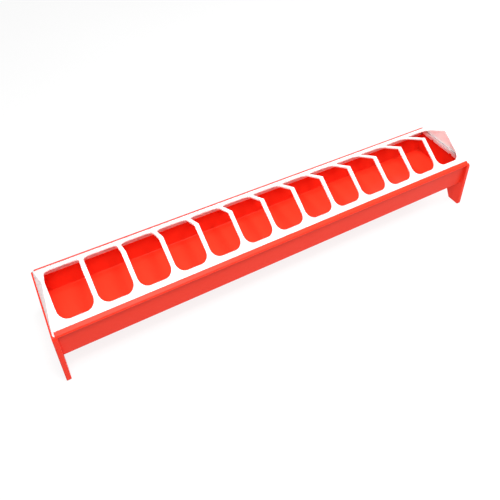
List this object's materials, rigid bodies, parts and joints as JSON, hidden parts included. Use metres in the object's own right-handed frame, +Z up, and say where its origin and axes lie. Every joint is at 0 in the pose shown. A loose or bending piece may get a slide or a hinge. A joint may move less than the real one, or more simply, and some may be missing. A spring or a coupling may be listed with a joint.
{
  "type": "trough feeder",
  "caption": "Long trough feeder for chicks: flat-bottomed channel on two splayed end plates, with a gable-shaped feeding grille that lifts off.",
  "frame": {"origin": "on the floor, under the middle of the feeder", "axes": "+X along the trough, +Y towards the back, +Z up"},
  "size_m": [0.4998, 0.0926, 0.0895],
  "materials": {
    "red_plastic": "semi-gloss moulded plastic",
    "white_plastic": "semi-gloss moulded plastic, slightly translucent"
  },
  "bodies": {
    "trough": {"trough_channel": "red_plastic", "left_end_plate": "red_plastic", "right_end_plate": "red_plastic"},
    "grille": {"feeding_grille": "white_plastic"}
  },
  "joints": [
    {"name": "grille_lift", "type": "slide", "parent": "trough", "child": "grille", "axis": [0, 0, 1], "range_m": [0, 0.06]}
  ]
}
